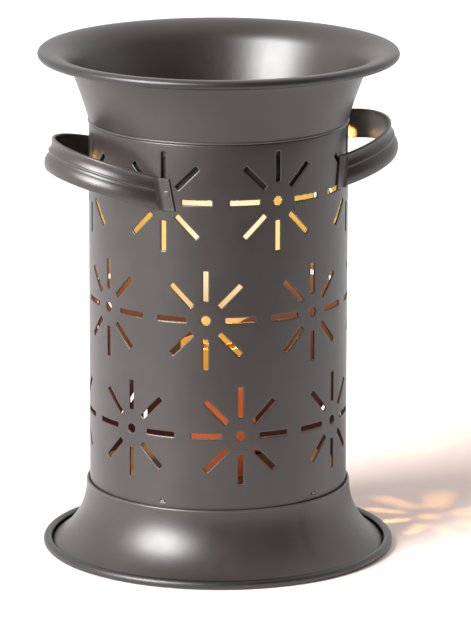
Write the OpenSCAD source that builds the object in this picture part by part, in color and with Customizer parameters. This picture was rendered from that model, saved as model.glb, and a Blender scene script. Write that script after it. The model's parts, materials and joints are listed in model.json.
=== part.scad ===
// Electric wax warmer of punched tin: a flared dish that lifts off, a lit tube and a flared base
// Millimetres, +Z up, origin on the table under the middle of the base, front towards -Y
// An azimuth is counted round +Z from the front: 90 degrees is towards +X

/* [Sheet metal] */
// Thickness of the tinplate
sheet = 0.55; // [0.4:0.05:0.8]
// Outer diameter of the rolled bead on both rims
bead_d = 3.2; // [2.6:0.1:4]
// How far the bead curls round, in degrees
bead_curl = 270; // [220:5:285]
// Gap left between pieces that nest and stay put
nest_gap = 0.1; // [0.05:0.05:0.2]

/* [Body] */
// Outer diameter of the tube
body_d = 91.3; // [84:0.1:98]
// Height of tube that shows between the skirt and the dish
body_show_h = 129.5; // [118:0.5:150]
// How far the tube reaches down into the skirt
body_lap = 6; // [4:0.5:8]
// Height of the folded hem at the top of the tube
body_hem_h = 5; // [3:0.5:7]
// Width of the lap seam down the back
lap_w = 7; // [5:0.5:9]

/* [Star pattern] */
// Height of the lowest row of stars above the skirt, as a share of the tube that shows
star_lift_share = 0.204; // [0.17:0.001:0.24]
// Height from one row of stars to the next, as a share of the tube that shows
star_rise_share = 0.319; // [0.29:0.001:0.34]
// Stars that would go all the way round, one of which the seam takes
star_places = 7; // [5:1:7]
// Distance from the middle of a star to the inner end of a ray, as a share of the star's room
ray_inner_share = 0.1635; // [0.12:0.0005:0.22]
// Distance from the middle of a star to the outer end of a ray, as a share of the star's room
ray_outer_share = 0.427; // [0.34:0.001:0.46]
// Width of a ray
ray_w = 2; // [1.2:0.1:3]
// Rays in a star
ray_count = 8; // [5:1:10]
// Diameter of the hole in the middle of a star
star_hole_d = 3.5; // [2:0.1:6]

/* [Base] */
// Outer diameter of the bead that the warmer stands on
base_d = 124.8; // [118:0.2:132]
// Radius of the skirt's flare
skirt_arc_r = 26; // [22:0.5:30]
// Straight collar at the top of the skirt
skirt_collar = 0.9; // [0.4:0.1:3]
// Height of the folded hem inside the top of the skirt
skirt_hem_h = 3; // [2:0.5:4]
// Depth of the flat under the bead
foot_flat = 0.2; // [0.1:0.05:0.3]
// Height of the bottom cover above the table
cover_lift = 4; // [3.6:0.1:6]

/* [Wax dish] */
// Outer diameter of the dish's rim
rim_d = 127; // [120:0.5:134]
// Height of the dish above the tube
dish_rise = 25.5; // [23:0.1:32]
// Radius of the flare under the rim
dish_arc_r = 12; // [9:0.5:14]
// Slope of the lip where it turns into the bead, in degrees from upright
lip_angle = 87; // [80:1:90]
// How far the dish's shoulder stands out past the tube
shoulder_out = 0.35; // [0:0.05:0.8]
// Depth of the dish below the top of the tube
dish_drop = 17.2; // [10:0.2:19]
// Radius of the corner round the dish's floor
dish_corner_r = 1.2; // [1:0.1:5]
// Gap between the dish and the tube that it drops into
dish_gap = 0.3; // [0.2:0.05:0.6]

/* [Handles] */
// Height of the strap
strap_h = 11.1; // [9:0.1:13]
// How far the strap's lower band bulges out
strap_bulge = 0.8; // [0.4:0.1:1.2]
// Width of the folded foot outside the strap
foot_w = 4.6; // [4.2:0.1:6]
// Height of the folded foot
foot_h = 10; // [8:0.2:12]
// Diameter of a rivet's shank
rivet_d = 1.8; // [1.4:0.1:2]
// Azimuth of the left handle
left_azimuth = -69; // [-75:1:-60]
// Angle from the middle of the left handle to each end of its strap
left_half_angle = 42.5; // [38:0.5:45]
// How far the left loop stands out from the line between its ends
left_reach = 28.5; // [24:0.1:31]
// Depth of the left handle's feet below the top of the tube
left_drop = 16.8; // [15:0.1:22]
// Upward tilt of the left loop
left_tilt = 15; // [8:1:20]
// Azimuth of the right handle
right_azimuth = 112; // [105:1:120]
// Angle from the middle of the right handle to each end of its strap
right_half_angle = 41; // [38:0.5:45]
// How far the right loop stands out from the line between its ends
right_reach = 31.1; // [24:0.1:33]
// Depth of the right handle's feet below the top of the tube
right_drop = 15.2; // [15:0.1:22]
// Upward tilt of the right loop
right_tilt = 14; // [8:1:20]

/* [Lamp holder] */
// Height of the socket plate above the skirt
plate_lift = 1.9; // [1.5:0.1:4]
// Tabs round the socket plate
tab_count = 5; // [3:1:6]
// Width of a tab
tab_w = 1.4; // [1.2:0.1:3]
// Azimuth of the first tab
tab_azimuth = -25; // [-30:1:-20]
// Vent holes in the socket plate
vent_count = 6; // [3:1:8]
// Diameter of a vent hole
vent_d = 6; // [4:0.5:8]
// Outer diameter of the threaded pipe
pipe_d = 9.6; // [9:0.1:10.4]
// Bore of the threaded pipe
pipe_bore_d = 7; // [5.5:0.1:7.4]
// Width of a pipe nut across its flats
nut_w = 14; // [13:0.5:15]
// Thickness of a pipe nut
nut_h = 2.3; // [2:0.1:2.6]
// Thickness of a pipe washer
washer_h = 0.8; // [0.5:0.1:1]
// Width of the bracket's strap
bracket_w = 12; // [10:0.5:14]
// Thickness of the bracket's strap
bracket_t = 1; // [0.8:0.1:1.2]
// Outer diameter of the lamp holder
holder_d = 19; // [17.5:0.5:22]
// Depth of the lamp holder's screw shell
holder_deep = 15; // [13.5:0.5:15.5]
// Thickness of the lamp holder's floor
holder_floor = 2; // [1.5:0.1:3]
// Depth of the well for the centre contact
well_h = 3; // [2.8:0.1:4]
// Thickness of the sleeve over the lamp holder
sleeve_t = 0.7; // [0.5:0.1:1.2]

/* [Bulb] */
// Gap between the top of the globe and the dish
bulb_gap = 4; // [3:0.2:10]
// Diameter of the globe
globe_d = 52; // [46:0.5:58]
// Length of the bulb from the contact to the top of the globe
bulb_len = 76; // [74:0.5:80]
// Thickness of the glass
glass_t = 0.5; // [0.4:0.1:0.8]
// Largest diameter of the screw cap's thread
cap_d = 11.9; // [11.6:0.1:12.2]
// Pitch of the screw cap's thread
cap_pitch = 2.54; // [2.2:0.02:2.8]
// Gap between the screw cap and the screw shell
screw_gap = 0.15; // [0.1:0.01:0.25]

/* [Cord inlet] */
// Height of the bushing above the table
bush_z = 12.5; // [12:0.1:13]
// Bore of the bushing
bush_bore_d = 7.2; // [5:0.1:7.6]
// Diameter of the bushing's sleeve
bush_d = 10; // [9.2:0.1:10.4]
// How far the bushing's flange stands out past its sleeve
bush_flange = 2; // [1.5:0.1:2.4]

/* [Hidden] */
$fn = 96;

// Colours
tin = "#45403d";
bare_tin = "#9a9a96";
zinc = "#a9abad";
brass = "#b08d4c";
black_plastic = "#232221";
cream = "#d9cdb4";
glow = "#ffd27a";

// Steps in a round stretch of an outline
steps = 16;
// Overlap that joins shapes of one piece or carries a cut clear of a face
eps = 0.2;

// Tube
body_r = body_d / 2;
body_in = body_r - sheet;
lap_azimuth = 182;

// Skirt: the flare's arc ends where it is tangent to the bead
bead_r = bead_d / 2;
neck_r = body_r + nest_gap + 2 * sheet;
base_bead = [base_d / 2 - bead_r, bead_r - foot_flat];
skirt_end = acos((neck_r + skirt_arc_r - base_bead[0]) / (skirt_arc_r + sheet - bead_r));
skirt_c = [neck_r + skirt_arc_r, base_bead[1] + (skirt_arc_r + sheet - bead_r) * sin(skirt_end)];
skirt_top = skirt_c[1] + skirt_collar;
body_bottom = skirt_top - body_lap;
body_top = skirt_top + body_show_h;

// Dish: the cone runs from the shoulder to the arc, and the arc to the bead
rim_bead = [rim_d / 2 - bead_r, body_top + dish_rise - bead_r];
dish_c = rim_bead + (dish_arc_r + sheet - bead_r) * [cos(lip_angle), -sin(lip_angle)];
shoulder_r = body_r + shoulder_out;
shoulder_to_c = dish_c - [shoulder_r, body_top];
cone_angle = acos(dish_arc_r / norm(shoulder_to_c)) - atan2(shoulder_to_c[1], shoulder_to_c[0]);
spigot_r = body_in - sheet - dish_gap;
dish_floor = body_top - dish_drop;

// Stars: azimuth of the first star in each row, from the lowest row up
star_first = [-144.3, -108.3, -127.4];
star_pitch = 360 / star_places;
star_lift = star_lift_share * body_show_h;
star_rise = star_rise_share * body_show_h;
star_room = min(star_rise, body_r * star_pitch * PI / 180);
ray_inner = ray_inner_share * star_room;
ray_outer = ray_outer_share * star_room;
star_cut_t = 10 * sheet;

// Handles
rib_at = 0.42;
band_at = 0.52;
rib_r = 0.5;
strap_layers = 1.5;
strap_t = strap_layers * sheet;
foot_r = body_r + nest_gap;
rivet_rim = 0.7;
rivet_seat_gap = 0.1;
rivet_head_d = rivet_d + 2 * rivet_rim;
rivet_head_h = rivet_d / 2;
rivet_out = (strap_bulge + foot_w) / 2;

// Lamp holder, hung from the height that the bulb needs under the dish
plate_z = skirt_top + plate_lift;
plate_top = plate_z + sheet;
tab_root = 1;
tab_out = 0.2;
pipe_r = pipe_d / 2;
thread_gap = 0.05;
pipe_end = 1;
pipe_bottom = cover_lift - washer_h - nut_h - pipe_end / 2;
pipe_top = plate_top + bracket_t + nut_h + pipe_end;
nut_r = nut_w / 2 / cos(30);
washer_r = nut_w / 2;
nut_room = 1;
bracket_in = nut_r + nut_room;
holder_r = holder_d / 2;
contact_gap = 0.05;
contact_z = dish_floor - bulb_gap - bulb_len;
leaf_t = 0.4;
leaf_w = 3.6;
leaf_reach = 3.4;
leaf_below = 0.5;
leaf_top = contact_z - contact_gap;
ledge_z = leaf_top + leaf_below;
holder_top = ledge_z + holder_deep;
bracket_top = ledge_z - well_h - holder_floor;
bracket_h = bracket_top - plate_top;
hold_rivet_r = 1.2;
hold_rivet_head_r = 2.1;
hold_rivet_head_h = 0.8;
screw_r = 1.5;
screw_head_r = 3;
screw_head_h = 1.8;
screw_slot = 0.8;
screw_pad = 8;
screw_wall = 1;
screw_tip_gap = 0.2;
screw_z = bracket_top + holder_floor + well_h / 2 + screw_head_r;
pad_out = 0.6;
pad_x = holder_r + pad_out;
ledge_w = 1.2;
shell_t = 0.35;
shell_below = 0.4;
shell_out = cap_d / 2 + screw_gap + shell_t;
screw_hole_h = pad_x - shell_out - screw_wall;
sleeve_gap = 0.3;
sleeve_in = norm([pad_x + screw_head_h, screw_head_r]) + sleeve_gap;
sleeve_above = 1.5;

// Bulb, from the contact up
globe_r = globe_d / 2;
contact_h = 0.8;
contact_r = 2.4;
contact_taper = 0.4;
insulator_edge = 0.2;
insulator_h = 1.8;
cap_bottom = contact_z + contact_h + insulator_h;
thread_depth = 0.5;
cap_mean_r = (cap_d - thread_depth) / 2;
thread_steps = 8;
cap_wall = 0.3;
cap_in = cap_mean_r - thread_depth / 2 - cap_wall;
globe_z = contact_z + bulb_len - globe_r;
glass_neck_r = cap_in - nest_gap;
neck_arc_r = 10;
neck_arc_z = globe_z - sqrt(pow(globe_r + neck_arc_r, 2) - pow(glass_neck_r + neck_arc_r, 2));
neck_arc_end = atan2(globe_z - neck_arc_z, -(glass_neck_r + neck_arc_r));
cap_below = 0.2;
cap_top = neck_arc_z - cap_below;
glass_in_cap = 7;
glass_bottom = cap_top - glass_in_cap;
stem_r = 2;
stem_flare_h = 1.2;
stem_below = 16;
stem_top = globe_z - stem_below;
wire_r = 0.35;
filament_below = 3;
filament_z = globe_z - filament_below;
filament_r = 8;
wire_foot = 1.2;

// Cord bushing, square to the skirt's wall
bush_azimuth = 180;
bush_slope = asin((skirt_c[1] - bush_z) / skirt_arc_r);
bush_at = [skirt_c[0] - skirt_arc_r * cos(bush_slope), bush_z];
bush_r = bush_d / 2;
bush_out = 2.4;
bush_in = 3.4;
bush_lip = 0.7;

// Points along an arc about c
function arc(c, r, from, to, n = steps) =
    [for (i = [0 : n]) let (a = from + (to - from) * i / n) [c[0] + r * cos(a), c[1] + r * sin(a)]];

// Radius of the skirt's inner face at height z
function skirt_in(z) = skirt_c[0] - sqrt(pow(skirt_arc_r + sheet, 2) - pow(skirt_c[1] - z, 2));

// Radius of the screw thread's ridges at height z
function thread_at(z) = cap_mean_r + thread_depth / 2 * cos(360 * (z - cap_bottom) / cap_pitch);

// Points up a threaded face, offset outwards by out
function thread_line(z0, z1, out) =
    let (n = ceil((z1 - z0) / cap_pitch * thread_steps))
    [for (i = [0 : n]) let (z = z0 + (z1 - z0) * i / n) [thread_at(z) + out, z]];

// Angle that a length takes up round the tube
function turn_of(length) = length / body_r * 180 / PI;

// A list from its end to its start
function reversed(list) = [for (i = [len(list) - 1 : -1 : 0]) list[i]];

// Things drawn along +X are turned to an azimuth
module at_azimuth(a) rotate([0, 0, a - 90]) children();

// Ring between two radii and two heights
module ring(r_in, r_out, z0, z1) {
    translate([0, 0, z0]) difference() {
        cylinder(r = r_out, h = z1 - z0);
        translate([0, 0, -eps]) cylinder(r = r_in, h = z1 - z0 + 2 * eps);
    }
}

// Frame square to the skirt's wall where the cord goes in, +Z out of the wall
module at_bushing() {
    at_azimuth(bush_azimuth) translate([bush_at[0], 0, bush_at[1]]) rotate([0, 90 - bush_slope, 0])
        children();
}

// Wall of the skirt, grown on both faces
module skirt_wall(grow) {
    rotate_extrude() polygon(concat(
        arc(skirt_c, skirt_arc_r - grow, 180, 180 + skirt_end),
        arc(skirt_c, skirt_arc_r + sheet + grow, 180 + skirt_end, 180)));
}

module base_skirt() {
    curl = 180 + skirt_end;
    outline = concat(
        [[neck_r, skirt_top]],
        arc(skirt_c, skirt_arc_r, 180, curl),
        arc(base_bead, bead_r - sheet, curl, curl + bead_curl),
        arc(base_bead, bead_r, curl + bead_curl, curl),
        arc(skirt_c, skirt_arc_r + sheet, curl, 180),
        [[neck_r - sheet, skirt_top - skirt_hem_h],
         [body_r + nest_gap, skirt_top - skirt_hem_h],
         [body_r + nest_gap, skirt_top]]);
    color(tin) difference() {
        rotate_extrude() polygon([for (p = outline) [p[0], max(p[1], 0)]]);
        at_bushing() translate([0, 0, -bush_in]) cylinder(r = bush_r + nest_gap, h = bush_in + bush_out);
    }
}

// One star, cut through the tube wall by rays that follow the rolled sheet
module star_cut(azimuth, z) {
    ray_mid = (ray_inner + ray_outer) / 2;
    for (i = [0 : ray_count - 1]) {
        turn = 90 + i * 360 / ray_count;
        at_azimuth(azimuth + turn_of(ray_mid * cos(turn)))
            translate([body_r, 0, z + ray_mid * sin(turn)])
            rotate([turn, 0, 0])
            cube([star_cut_t, ray_outer - ray_inner, ray_w], center = true);
    }
    at_azimuth(azimuth) translate([body_r, 0, z]) rotate([0, 90, 0])
        cylinder(d = star_hole_d, h = star_cut_t, center = true);
}

module body_shell() {
    outline = [[body_r, body_bottom], [body_r, body_top], [body_in - sheet, body_top],
        [body_in - sheet, body_top - body_hem_h], [body_in, body_top - body_hem_h], [body_in, body_bottom]];
    lap_angle = turn_of(lap_w);
    color(tin) difference() {
        union() {
            rotate_extrude() polygon(outline);
            at_azimuth(lap_azimuth) rotate([0, 0, -lap_angle / 2]) rotate_extrude(angle = lap_angle)
                translate([body_in + sheet / 2, skirt_top + nest_gap])
                square([sheet, body_show_h - nest_gap]);
        }
        for (row = [0 : len(star_first) - 1]) {
            for (i = [0 : star_places - 2]) {
                star_cut(star_first[row] + i * star_pitch, skirt_top + star_lift + row * star_rise);
            }
        }
        plate_tabs(nest_gap);
        all_rivets(nest_gap);
    }
}

module wax_dish() {
    curl = 180 - lip_angle;
    cone_top = 180 - cone_angle;
    corner = [spigot_r - dish_corner_r, dish_floor + dish_corner_r];
    step_r = shoulder_r - sheet * cos(cone_angle) + sheet * (1 - sin(cone_angle)) * tan(cone_angle);
    outline = concat(
        [[0, dish_floor]],
        arc(corner, dish_corner_r, -90, 0),
        [[spigot_r, body_top], [shoulder_r, body_top]],
        arc(dish_c, dish_arc_r, cone_top, curl),
        arc(rim_bead, bead_r - sheet, curl, curl - bead_curl),
        arc(rim_bead, bead_r, curl - bead_curl, curl),
        arc(dish_c, dish_arc_r + sheet, curl, cone_top),
        [[step_r, body_top + sheet], [spigot_r - sheet, body_top + sheet]],
        arc(corner, dish_corner_r - sheet, 0, -90),
        [[0, dish_floor + sheet]]);
    color(tin) rotate_extrude() polygon(outline);
}

// Cross-section of the strap about its middle, +X out of the loop: edge roll, web, rib and lower band
module strap_section() {
    half_h = strap_h / 2;
    rib_z = half_h - rib_at * strap_h;
    band_z = half_h - band_at * strap_h;
    band_h = band_z + half_h;
    band_r = (band_h * band_h / 4 + strap_bulge * strap_bulge) / (2 * strap_bulge);
    band_turn = asin(band_h / 2 / band_r);
    band_c = [strap_bulge - band_r, band_z - band_h / 2];
    polygon(concat(
        arc([-strap_t / 2, half_h - strap_t / 2], strap_t / 2, 180, 0),
        arc([0, rib_z], rib_r, 90, -90),
        arc(band_c, band_r, band_turn, -band_turn),
        [[-strap_t, -half_h]]));
}

// Loop handle: the strap follows an arc through its two ends, tilted about the line between them
module handle(azimuth, half_angle, reach, foot_z, tilt) {
    half_chord = body_r * sin(half_angle);
    chord_u = body_r * cos(half_angle);
    loop_r = (half_chord * half_chord + reach * reach) / (2 * reach);
    loop_turn = atan2(half_chord, loop_r - reach) + strap_h * sin(tilt) / loop_r * 180 / PI;
    foot_lap = strap_t / 2;
    at_azimuth(azimuth) difference() {
        union() {
            translate([chord_u, 0, foot_z]) rotate([0, -tilt, 0]) translate([reach - loop_r, 0, 0])
                rotate([0, 0, -loop_turn]) rotate_extrude(angle = 2 * loop_turn)
                translate([loop_r, 0]) strap_section();
            for (side = [0, 1]) {
                mirror([0, side, 0]) rotate([0, 0, half_angle - turn_of(foot_lap)])
                    rotate_extrude(angle = turn_of(foot_w + foot_lap))
                    translate([foot_r - eps, foot_z - foot_h / 2]) square([strap_t + eps, foot_h]);
            }
        }
        cylinder(r = foot_r, h = 2 * body_top);
        handle_rivet_pair(half_angle, foot_z, nest_gap);
    }
}

// Rivets through both feet of a handle, in the handle's own frame, grown by a clearance
module handle_rivet_pair(half_angle, foot_z, grow) {
    head_in = body_in - sheet;
    head_out = foot_r + strap_t;
    for (side = [-1, 1]) {
        rotate([0, 0, side * (half_angle + turn_of(rivet_out))])
            translate([0, 0, foot_z]) rotate([0, 90, 0]) {
                translate([0, 0, head_in])
                    cylinder(d = rivet_d + 2 * grow, h = head_out + rivet_head_h / 2 - head_in);
                if (grow == 0) {
                    translate([0, 0, head_in]) cylinder(d = rivet_head_d, h = sheet - rivet_seat_gap);
                    translate([0, 0, head_out]) cylinder(d1 = rivet_head_d, d2 = rivet_d, h = rivet_head_h);
                }
            }
    }
}

module all_rivets(grow) {
    at_azimuth(left_azimuth) handle_rivet_pair(left_half_angle, body_top - left_drop, grow);
    at_azimuth(right_azimuth) handle_rivet_pair(right_half_angle, body_top - right_drop, grow);
}

module left_handle() {
    color(tin) handle(left_azimuth, left_half_angle, left_reach, body_top - left_drop, left_tilt);
}

module right_handle() {
    color(tin) handle(right_azimuth, right_half_angle, right_reach, body_top - right_drop, right_tilt);
}

module handle_rivets() {
    color(tin) all_rivets(0);
}

// Tabs of the socket plate, grown by a clearance where they are cut out of the tube
module plate_tabs(grow) {
    for (i = [0 : tab_count - 1]) {
        at_azimuth(tab_azimuth + i * 360 / tab_count)
            translate([body_in - tab_root, -tab_w / 2 - grow, plate_z - grow])
            cube([tab_root + sheet + tab_out, tab_w + 2 * grow, sheet + 2 * grow]);
    }
}

module socket_plate() {
    vent_ring_r = (washer_r + body_in) / 2;
    color(bare_tin) difference() {
        union() {
            translate([0, 0, plate_z]) cylinder(r = body_in - nest_gap, h = sheet);
            plate_tabs(0);
        }
        translate([0, 0, plate_z - eps]) cylinder(r = pipe_r + nest_gap, h = sheet + 2 * eps);
        for (i = [0 : vent_count - 1]) {
            rotate([0, 0, i * 360 / vent_count]) translate([vent_ring_r, 0, plate_z - eps])
                cylinder(d = vent_d, h = sheet + 2 * eps);
        }
    }
}

module lamp_pipe() {
    color(zinc) ring(pipe_bore_d / 2, pipe_r, pipe_bottom, pipe_top);
}

// Hexagon nut on the pipe
module pipe_nut(z) {
    translate([0, 0, z]) difference() {
        cylinder(r = nut_r, h = nut_h, $fn = 6);
        translate([0, 0, -eps]) cylinder(r = pipe_r + thread_gap, h = nut_h + 2 * eps);
    }
}

module pipe_nuts() {
    color(zinc) {
        pipe_nut(plate_top + bracket_t);
        pipe_nut(plate_z - washer_h - nut_h);
        pipe_nut(cover_lift - washer_h - nut_h);
    }
}

module pipe_washers() {
    color(zinc) {
        ring(pipe_r + nest_gap, washer_r, plate_z - washer_h, plate_z);
        ring(pipe_r + nest_gap, washer_r, cover_lift - washer_h, cover_lift);
    }
}

// Strap bent into three sides, with the pipe through its foot and the holder riveted on its top
module socket_bracket() {
    foot_x = -washer_r;
    outer_x = bracket_in + bracket_t;
    inside_h = bracket_h - 2 * bracket_t;
    color(zinc) difference() {
        translate([foot_x, -bracket_w / 2, plate_top]) cube([outer_x - foot_x, bracket_w, bracket_h]);
        translate([foot_x - eps, -bracket_w, plate_top + bracket_t])
            cube([bracket_in - foot_x + eps, 2 * bracket_w, inside_h]);
        translate([0, 0, plate_top - eps]) cylinder(r = pipe_r + nest_gap, h = bracket_t + 2 * eps);
        translate([0, 0, bracket_top - bracket_t - eps])
            cylinder(r = hold_rivet_r + nest_gap, h = bracket_t + 2 * eps);
    }
}

module socket_body() {
    well_r = shell_out - ledge_w;
    color(black_plastic) difference() {
        union() {
            translate([0, 0, bracket_top]) cylinder(r = holder_r, h = holder_top - bracket_top);
            translate([-screw_pad / 2, -pad_x, screw_z - screw_pad / 2])
                cube([screw_pad, 2 * pad_x, screw_pad]);
        }
        translate([0, 0, ledge_z]) cylinder(r = shell_out + nest_gap, h = holder_deep + eps);
        translate([0, 0, bracket_top + holder_floor]) cylinder(r = well_r, h = well_h + eps);
        translate([0, 0, bracket_top - eps])
            cylinder(r = hold_rivet_r + nest_gap, h = holder_floor + 2 * eps);
        for (side = [0, 1]) {
            mirror([0, side, 0]) translate([0, pad_x + eps, screw_z]) rotate([90, 0, 0])
                cylinder(r = screw_r + thread_gap, h = screw_hole_h + eps);
        }
    }
}

module socket_screw_shell() {
    top = holder_top - shell_below;
    color(brass) rotate_extrude() polygon(concat(
        thread_line(ledge_z, top, screw_gap + shell_t),
        reversed(thread_line(ledge_z, top, screw_gap))));
}

// Spring leaf: riveted at its foot, bent back over to meet the bulb
module socket_centre_contact() {
    foot_z = bracket_top + holder_floor;
    leaf_h = leaf_top - foot_z;
    color(brass) difference() {
        translate([-leaf_reach, -leaf_w / 2, foot_z]) cube([2 * leaf_reach, leaf_w, leaf_h]);
        translate([-leaf_reach - eps, -leaf_w, foot_z + leaf_t])
            cube([2 * leaf_reach - leaf_t + eps, 2 * leaf_w, leaf_h - 2 * leaf_t]);
        translate([0, 0, foot_z - eps]) cylinder(r = hold_rivet_r + nest_gap, h = leaf_t + 2 * eps);
    }
}

module socket_rivet() {
    low = bracket_top - bracket_t;
    high = bracket_top + holder_floor + leaf_t;
    color(brass) union() {
        translate([0, 0, low - hold_rivet_head_h]) cylinder(r = hold_rivet_head_r, h = hold_rivet_head_h);
        translate([0, 0, low - eps]) cylinder(r = hold_rivet_r, h = high - low + 2 * eps);
        translate([0, 0, high]) cylinder(r = hold_rivet_head_r, h = hold_rivet_head_h);
    }
}

module terminal_screws() {
    color(brass) for (side = [0, 1]) {
        mirror([0, side, 0]) translate([0, pad_x + screw_head_h, screw_z]) rotate([90, 0, 0]) difference() {
            union() {
                cylinder(r = screw_head_r, h = screw_head_h);
                cylinder(r = screw_r, h = screw_head_h + screw_hole_h - screw_tip_gap);
            }
            translate([-screw_head_r, -screw_slot / 2, -eps])
                cube([2 * screw_head_r, screw_slot, screw_slot + eps]);
        }
    }
}

module socket_sleeve() {
    color(cream) ring(sleeve_in, sleeve_in + sleeve_t, plate_top, holder_top + sleeve_above);
}

module bulb_glass() {
    neck_c = [glass_neck_r + neck_arc_r, neck_arc_z];
    globe_from = neck_arc_end - 180;
    color(glow, 0.6) rotate_extrude() polygon(concat(
        [[glass_neck_r, glass_bottom]],
        arc(neck_c, neck_arc_r, 180, neck_arc_end),
        arc([0, globe_z], globe_r, globe_from, 90, 2 * steps),
        arc([0, globe_z], globe_r - glass_t, 90, globe_from, 2 * steps),
        arc(neck_c, neck_arc_r + glass_t, neck_arc_end, 180),
        [[glass_neck_r - glass_t, glass_bottom]]));
}

module bulb_cap() {
    color(brass) rotate_extrude() polygon(concat(
        thread_line(cap_bottom, cap_top, 0),
        [[cap_in, cap_top], [cap_in, cap_bottom]]));
}

module bulb_insulator() {
    color(black_plastic) translate([0, 0, contact_z + contact_h])
        cylinder(r1 = contact_r + insulator_edge, r2 = cap_in - nest_gap, h = insulator_h);
}

module bulb_contact() {
    color(zinc) translate([0, 0, contact_z])
        cylinder(r1 = contact_r - contact_taper, r2 = contact_r, h = contact_h);
}

module bulb_stem() {
    color("white", 0.5) union() {
        translate([0, 0, glass_bottom]) cylinder(r = glass_neck_r - glass_t - nest_gap, h = stem_flare_h);
        translate([0, 0, glass_bottom]) cylinder(r = stem_r, h = stem_top - glass_bottom);
    }
}

// Wires from the stem to the ends of the filament, cut flat at both ends
module bulb_lead_wires() {
    run = [filament_r - wire_foot, filament_z - stem_top];
    lean = atan2(run[0], run[1]);
    color(zinc) for (side = [0, 1]) {
        mirror([side, 0, 0]) intersection() {
            translate([wire_foot, 0, stem_top]) rotate([0, lean, 0])
                translate([0, 0, -wire_r]) cylinder(r = wire_r, h = norm(run) + 2 * wire_r);
            translate([0, -globe_r, stem_top]) cube([globe_r, globe_d, run[1]]);
        }
    }
}

module bulb_filament() {
    color(glow) translate([0, 0, filament_z]) rotate([90, 0, 0]) rotate_extrude(angle = 180)
        translate([filament_r, 0]) circle(r = wire_r);
}

module cord_bushing() {
    wall_gap = nest_gap / 2;
    long = bush_in + bush_out;
    color(black_plastic) difference() {
        at_bushing() {
            translate([0, 0, -bush_in]) cylinder(r = bush_r, h = long);
            translate([0, 0, -sheet]) cylinder(r = bush_r + bush_flange, h = bush_out + sheet);
            translate([0, 0, -bush_in]) cylinder(r = bush_r + bush_lip, h = bush_in - sheet / 2);
        }
        at_bushing() translate([0, 0, -bush_in - eps]) cylinder(d = bush_bore_d, h = long + 2 * eps);
        difference() {
            skirt_wall(wall_gap);
            at_bushing() translate([0, 0, -bush_in]) cylinder(r = bush_r, h = long);
        }
    }
}

module bottom_cover() {
    cover_r = skirt_in(cover_lift + sheet) - nest_gap;
    color(bare_tin) ring(pipe_r + nest_gap, cover_r, cover_lift, cover_lift + sheet);
}

base_skirt();
body_shell();
wax_dish();
left_handle();
right_handle();
handle_rivets();
socket_plate();
lamp_pipe();
pipe_nuts();
pipe_washers();
socket_bracket();
socket_body();
socket_screw_shell();
socket_centre_contact();
socket_rivet();
terminal_screws();
socket_sleeve();
bulb_glass();
bulb_cap();
bulb_insulator();
bulb_contact();
bulb_stem();
bulb_lead_wires();
bulb_filament();
cord_bushing();
bottom_cover();
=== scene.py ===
import json
from math import acos, asin, atan2, cos, degrees, hypot, pi, radians, sin, sqrt, tau

import bmesh
import bpy
from bpy.props import FloatProperty, FloatVectorProperty, PointerProperty
from mathutils import Matrix, Vector
from mathutils.geometry import delaunay_2d_cdt


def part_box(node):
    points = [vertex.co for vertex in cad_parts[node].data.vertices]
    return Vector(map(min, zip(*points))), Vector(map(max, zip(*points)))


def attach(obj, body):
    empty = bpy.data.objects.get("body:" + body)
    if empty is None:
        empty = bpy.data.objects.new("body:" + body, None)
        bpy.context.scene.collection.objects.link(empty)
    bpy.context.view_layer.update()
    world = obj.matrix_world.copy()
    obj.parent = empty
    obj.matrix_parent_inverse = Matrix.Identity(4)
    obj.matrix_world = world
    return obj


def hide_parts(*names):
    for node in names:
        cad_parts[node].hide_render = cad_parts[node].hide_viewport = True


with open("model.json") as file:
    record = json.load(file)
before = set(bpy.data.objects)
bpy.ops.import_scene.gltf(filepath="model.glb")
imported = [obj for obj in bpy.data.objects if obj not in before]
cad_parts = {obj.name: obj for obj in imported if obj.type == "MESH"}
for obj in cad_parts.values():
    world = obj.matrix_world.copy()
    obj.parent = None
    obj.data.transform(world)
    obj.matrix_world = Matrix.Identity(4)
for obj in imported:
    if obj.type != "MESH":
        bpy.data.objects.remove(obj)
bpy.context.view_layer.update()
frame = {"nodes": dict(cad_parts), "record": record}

bl_info = {
    "name": "Punched tin wax warmer",
    "version": (1, 0, 0),
    "blender": (4, 5, 0),
    "location": "View3D > Sidebar > Warmer",
    "description": "Dresses the packed wax warmer in sheet tin, handles, a lit bulb and a stage",
    "category": "Object",
}

MM = 0.001
# Segments round a turned piece, the angle of a sharp edge and the distance that is merged
SEGMENTS = 192
SHARP = radians(34)
MERGE = 0.002 * MM
# Gap between nested sheets, angle that a bead is rolled through, rubbing on folds and painted shade
# on beads
NEST_GAP = 0.1 * MM
BEAD_CURL = 270.0
FOLD_WEAR = 0.2
BEAD_SHADE = 0.8
# How far the edge of a patch of spray or of glow wanders up and down
BLUR = 12 * MM
# Sockets of a mix node that carry colours
MIX_FIRST, MIX_SECOND, MIX_RESULT = 6, 7, 2
# Bare metals: the finish that colours them, roughness, and stretch of their rolling marks
METALS = {
    "bare_tin": ("tin", 0.34, (0.15, 1.0, 1.0)),
    "browned_tin": ("browned", 0.42, (0.15, 1.0, 1.0)),
    "zinc_steel": ("zinc", 0.3, (0.3, 0.3, 1.0)),
    "drawn_wire": ("zinc", 0.3, (1.0, 1.0, 0.1)),
    "brass_sheet": ("brass", 0.26, (0.2, 0.2, 1.0)),
    "heated_brass": ("heated_brass", 0.4, (0.2, 0.2, 1.0)),
}


def low(node, axis):
    return float(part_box(node)[0][axis])


def high(node, axis):
    return float(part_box(node)[1][axis])


def reach(node):
    """Radius of a packed round node, by the nearest side of its box."""
    return min(high(node, 0), high(node, 1), -low(node, 0), -low(node, 1))


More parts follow.
